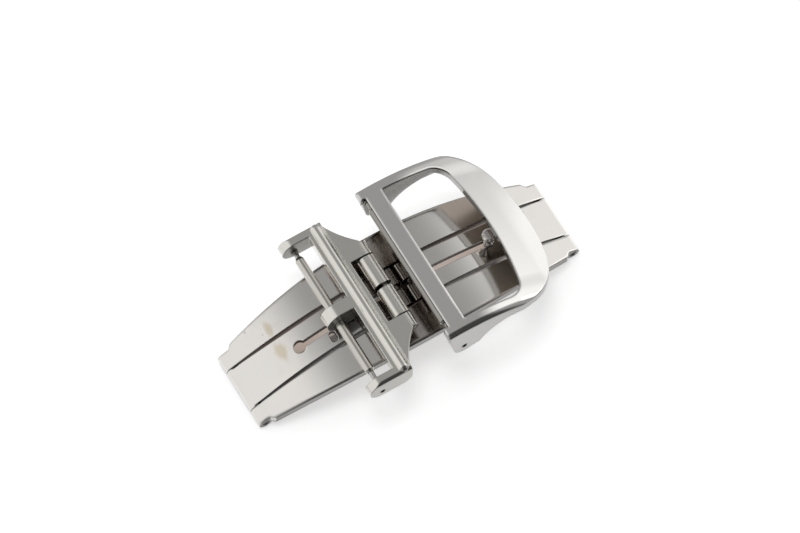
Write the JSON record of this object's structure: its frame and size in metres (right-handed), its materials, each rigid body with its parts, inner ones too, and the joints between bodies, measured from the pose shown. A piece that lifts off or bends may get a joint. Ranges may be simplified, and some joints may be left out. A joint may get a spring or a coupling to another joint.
{
  "type": "deployant clasp",
  "caption": "Folding watch-strap clasp: curved base with two hinged spring arms, a tilting strap link on spring bar, and a tilting curved strap buckle with a post.",
  "frame": {"origin": "under the middle of the closed clasp, on the surface its two end hinges stand on", "axes": "+X from the strap link to the buckle, +Y across the clasp, +Z away from the wrist"},
  "size_m": [0.0422, 0.0208, 0.0121],
  "materials": {
    "polished_steel": "mirror-polished stainless steel",
    "pin_steel": "turned stainless steel",
    "spring_steel": "drawn spring wire"
  },
  "bodies": {
    "base": {"base_frame": "polished_steel", "left_hinge_pin": "pin_steel", "right_hinge_pin": "pin_steel", "latch_studs": "pin_steel"},
    "left_arm": {"left_arm": "polished_steel", "link_hinge_pin": "pin_steel"},
    "right_arm": {"right_arm": "polished_steel", "strap_post": "polished_steel", "buckle_bar_tube": "polished_steel", "buckle_bar_coil": "spring_steel"},
    "link": {"strap_link": "polished_steel", "link_bar_tube": "polished_steel", "link_bar_coil": "spring_steel"},
    "buckle": {"buckle_frame": "polished_steel", "keeper_bar_tube": "polished_steel", "keeper_bar_coil": "spring_steel"},
    "link_bar_tip_far": {"link_bar_tip_far": "pin_steel"},
    "link_bar_tip_near": {"link_bar_tip_near": "pin_steel"},
    "buckle_bar_tip_far": {"buckle_bar_tip_far": "pin_steel"},
    "buckle_bar_tip_near": {"buckle_bar_tip_near": "pin_steel"},
    "keeper_bar_tip_far": {"keeper_bar_tip_far": "pin_steel"},
    "keeper_bar_tip_near": {"keeper_bar_tip_near": "pin_steel"}
  },
  "joints": [
    {"name": "left_arm_hinge", "type": "hinge", "parent": "base", "child": "left_arm", "pos_m": [-0.0203, 0, 0.0008], "axis": [0, -1, 0], "range_deg": [0, 150]},
    {"name": "right_arm_hinge", "type": "hinge", "parent": "base", "child": "right_arm", "pos_m": [0.0203, 0, 0.0008], "axis": [0, 1, 0], "range_deg": [0, 150]},
    {"name": "link_hinge", "type": "hinge", "parent": "left_arm", "child": "link", "pos_m": [-0.00175, 0, 0.0086], "axis": [0, 1, 0], "range_deg": [0, 88]},
    {"name": "buckle_hinge", "type": "hinge", "parent": "right_arm", "child": "buckle", "pos_m": [0.00235, 0, 0.00764], "axis": [0, -1, 0], "range_deg": [0, 33]},
    {"name": "link_bar_tip_far_slide", "type": "slide", "parent": "link", "child": "link_bar_tip_far", "axis": [0, -1, 0], "range_m": [0, 0.0006], "stiffness_N_per_m": 300, "springref_m": -0.0006, "deforming": ["link_bar_coil"]},
    {"name": "link_bar_tip_near_slide", "type": "slide", "parent": "link", "child": "link_bar_tip_near", "axis": [0, 1, 0], "range_m": [0, 0.0006], "stiffness_N_per_m": 300, "springref_m": -0.0006, "deforming": ["link_bar_coil"]},
    {"name": "buckle_bar_tip_far_slide", "type": "slide", "parent": "right_arm", "child": "buckle_bar_tip_far", "axis": [0, -1, 0], "range_m": [0, 0.0006], "stiffness_N_per_m": 300, "springref_m": -0.0006, "deforming": ["buckle_bar_coil"]},
    {"name": "buckle_bar_tip_near_slide", "type": "slide", "parent": "right_arm", "child": "buckle_bar_tip_near", "axis": [0, 1, 0], "range_m": [0, 0.0006], "stiffness_N_per_m": 300, "springref_m": -0.0006, "deforming": ["buckle_bar_coil"]},
    {"name": "keeper_bar_tip_far_slide", "type": "slide", "parent": "buckle", "child": "keeper_bar_tip_far", "axis": [0, -1, 0], "range_m": [0, 0.0006], "stiffness_N_per_m": 300, "springref_m": -0.0006, "deforming": ["keeper_bar_coil"]},
    {"name": "keeper_bar_tip_near_slide", "type": "slide", "parent": "buckle", "child": "keeper_bar_tip_near", "axis": [0, 1, 0], "range_m": [0, 0.0006], "stiffness_N_per_m": 300, "springref_m": -0.0006, "deforming": ["keeper_bar_coil"]}
  ]
}
